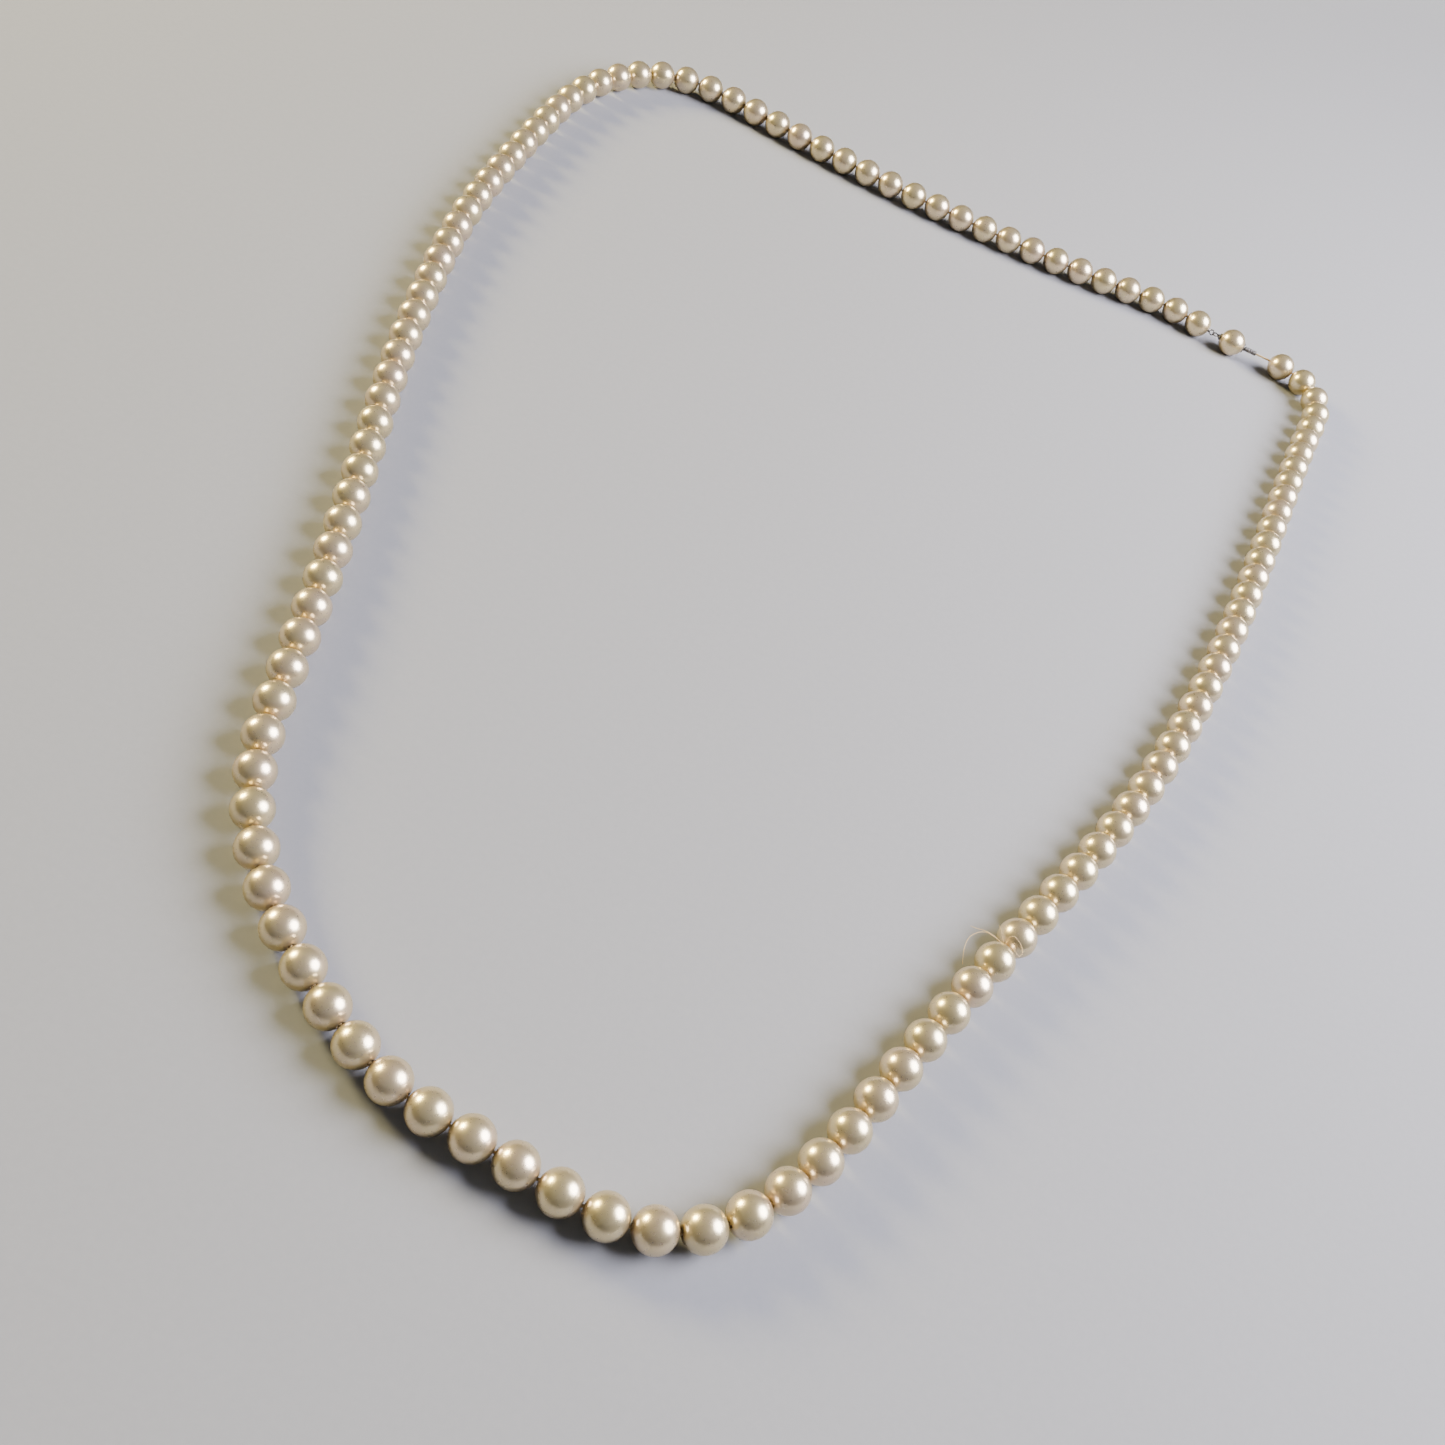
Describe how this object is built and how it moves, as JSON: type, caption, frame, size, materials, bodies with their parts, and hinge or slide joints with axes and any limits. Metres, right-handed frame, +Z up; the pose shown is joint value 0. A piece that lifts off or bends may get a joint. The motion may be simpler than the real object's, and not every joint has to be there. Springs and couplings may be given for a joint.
{
  "type": "pearl necklace",
  "caption": "Single strand of round imitation pearls on a thread, lying in an open loop and closed by a pearl ball clasp with a sliding tongue.",
  "frame": {"origin": "middle of the outline, on the surface the strand lies on", "axes": "+Z up, +Y to the back of the loop where the clasp is, +X to the right seen from the front"},
  "size_m": [0.19, 0.265, 0.006],
  "materials": {
    "pearl": "pearlescent coating, cream",
    "thread": "twisted, waxed",
    "clasp_metal": "darkened, satin"
  },
  "bodies": {
    "strand_middle": {"pearls_middle": "pearl", "thread_middle": "thread"},
    "strand_left_01": {"pearls_left_01": "pearl", "thread_left_01": "thread"},
    "strand_left_02": {"pearls_left_02": "pearl", "thread_left_02": "thread"},
    "strand_left_03": {"pearls_left_03": "pearl", "thread_left_03": "thread"},
    "strand_left_04": {"pearls_left_04": "pearl", "thread_left_04": "thread"},
    "strand_left_05": {"pearls_left_05": "pearl", "thread_left_05": "thread"},
    "strand_left_06": {"pearls_left_06": "pearl", "thread_left_06": "thread"},
    "strand_left_07": {"pearls_left_07": "pearl", "thread_left_07": "thread"},
    "strand_left_08": {"pearls_left_08": "pearl", "thread_left_08": "thread"},
    "strand_left_09": {"pearls_left_09": "pearl", "thread_left_09": "thread"},
    "strand_left_10": {"pearls_left_10": "pearl", "thread_left_10": "thread"},
    "strand_left_11": {"pearls_left_11": "pearl", "thread_left_11": "thread", "end_loop": "clasp_metal"},
    "strand_right_01": {"pearls_right_01": "pearl", "thread_right_01": "thread"},
    "strand_right_02": {"pearls_right_02": "pearl", "thread_right_02": "thread"},
    "strand_right_03": {"pearls_right_03": "pearl", "thread_right_03": "thread"},
    "strand_right_04": {"pearls_right_04": "pearl", "thread_right_04": "thread"},
    "strand_right_05": {"pearls_right_05": "pearl", "thread_right_05": "thread"},
    "strand_right_06": {"pearls_right_06": "pearl", "thread_right_06": "thread"},
    "strand_right_07": {"pearls_right_07": "pearl", "thread_right_07": "thread"},
    "strand_right_08": {"pearls_right_08": "pearl", "thread_right_08": "thread"},
    "strand_right_09": {"pearls_right_09": "pearl", "thread_right_09": "thread"},
    "strand_right_10": {"pearls_right_10": "pearl", "thread_right_10": "thread"},
    "strand_right_11": {"pearls_right_11": "pearl", "thread_right_11": "thread"},
    "clasp": {"clasp_ring": "clasp_metal", "clasp_pearl": "pearl", "clasp_socket": "clasp_metal", "clasp_mouth": "clasp_metal"},
    "tongue": {"clasp_tongue": "clasp_metal", "clasp_tube": "clasp_metal"}
  },
  "joints": [
    {"name": "left_01_swing", "type": "hinge", "parent": "strand_middle", "child": "strand_left_01", "pos_m": [-0.06488, -0.06699, 0.003], "axis": [0, 0, 1], "range_deg": [0, 20]},
    {"name": "left_02_lift", "type": "hinge", "parent": "strand_left_01", "child": "strand_left_02", "pos_m": [-0.07254, -0.03721, 0.003], "axis": [0.9633, 0.2683, 0], "range_deg": [0, 20]},
    {"name": "left_03_swing", "type": "hinge", "parent": "strand_left_02", "child": "strand_left_03", "pos_m": [-0.08081, -0.00759, 0.003], "axis": [0, 0, 1], "range_deg": [0, 20]},
    {"name": "left_04_lift", "type": "hinge", "parent": "strand_left_03", "child": "strand_left_04", "pos_m": [-0.0875, 0.02242, 0.003], "axis": [0.9818, 0.1901, 0], "range_deg": [0, 20]},
    {"name": "left_05_swing", "type": "hinge", "parent": "strand_left_04", "child": "strand_left_05", "pos_m": [-0.09156, 0.05287, 0.003], "axis": [0, 0, 1], "range_deg": [0, 20]},
    {"name": "left_06_lift", "type": "hinge", "parent": "strand_left_05", "child": "strand_left_06", "pos_m": [-0.09204, 0.08361, 0.003], "axis": [1, -0.0041, 0], "range_deg": [0, 20]},
    {"name": "left_07_swing", "type": "hinge", "parent": "strand_left_06", "child": "strand_left_07", "pos_m": [-0.08792, 0.11386, 0.003], "axis": [0, 0, 1], "range_deg": [0, 20]},
    {"name": "left_08_lift", "type": "hinge", "parent": "strand_left_07", "child": "strand_left_08", "pos_m": [-0.06429, 0.12956, 0.003], "axis": [-0.0581, -0.9983, 0], "range_deg": [0, 20]},
    {"name": "left_09_swing", "type": "hinge", "parent": "strand_left_08", "child": "strand_left_09", "pos_m": [-0.03391, 0.12486, 0.003], "axis": [0, 0, 1], "range_deg": [0, 20]},
    {"name": "left_10_lift", "type": "hinge", "parent": "strand_left_09", "child": "strand_left_10", "pos_m": [-0.00327, 0.12243, 0.003], "axis": [-0.0271, -0.9996, 0], "range_deg": [0, 20]},
    {"name": "left_11_swing", "type": "hinge", "parent": "strand_left_10", "child": "strand_left_11", "pos_m": [0.02747, 0.12254, 0.003], "axis": [0, 0, 1], "range_deg": [0, 20]},
    {"name": "right_01_swing", "type": "hinge", "parent": "strand_middle", "child": "strand_right_01", "pos_m": [-0.04952, -0.10658, 0.003], "axis": [0, 0, -1], "range_deg": [0, 20]},
    {"name": "right_02_lift", "type": "hinge", "parent": "strand_right_01", "child": "strand_right_02", "pos_m": [-0.02464, -0.12435, 0.003], "axis": [-0.387, -0.9221, 0], "range_deg": [0, 20]},
    {"name": "right_03_swing", "type": "hinge", "parent": "strand_right_02", "child": "strand_right_03", "pos_m": [0.00557, -0.12959, 0.003], "axis": [0, 0, -1], "range_deg": [0, 20]},
    {"name": "right_04_lift", "type": "hinge", "parent": "strand_right_03", "child": "strand_right_04", "pos_m": [0.03013, -0.11463, 0.003], "axis": [0.8781, -0.4785, 0], "range_deg": [0, 20]},
    {"name": "right_05_swing", "type": "hinge", "parent": "strand_right_04", "child": "strand_right_05", "pos_m": [0.04169, -0.08615, 0.003], "axis": [0, 0, -1], "range_deg": [0, 20]},
    {"name": "right_06_lift", "type": "hinge", "parent": "strand_right_05", "child": "strand_right_06", "pos_m": [0.05375, -0.05787, 0.003], "axis": [0.917, -0.3988, 0], "range_deg": [0, 20]},
    {"name": "right_07_swing", "type": "hinge", "parent": "strand_right_06", "child": "strand_right_07", "pos_m": [0.06513, -0.02931, 0.003], "axis": [0, 0, -1], "range_deg": [0, 20]},
    {"name": "right_08_lift", "type": "hinge", "parent": "strand_right_07", "child": "strand_right_08", "pos_m": [0.07349, 0.00027, 0.003], "axis": [0.9732, -0.2301, 0], "range_deg": [0, 20]},
    {"name": "right_09_swing", "type": "hinge", "parent": "strand_right_08", "child": "strand_right_09", "pos_m": [0.07962, 0.0304, 0.003], "axis": [0, 0, -1], "range_deg": [0, 20]},
    {"name": "right_10_lift", "type": "hinge", "parent": "strand_right_09", "child": "strand_right_10", "pos_m": [0.08447, 0.06076, 0.003], "axis": [0.9885, -0.1512, 0], "range_deg": [0, 20]},
    {"name": "right_11_swing", "type": "hinge", "parent": "strand_right_10", "child": "strand_right_11", "pos_m": [0.08932, 0.09113, 0.003], "axis": [0, 0, -1], "range_deg": [0, 20]},
    {"name": "clasp_swing", "type": "hinge", "parent": "strand_left_11", "child": "clasp", "pos_m": [0.06534, 0.1217, 0.003], "axis": [0, 0, 1], "range_deg": [-30, 30]},
    {"name": "tongue_slide", "type": "slide", "parent": "clasp", "child": "tongue", "axis": [0.9986, -0.0527, 0], "range_m": [0, 0.0027]}
  ]
}
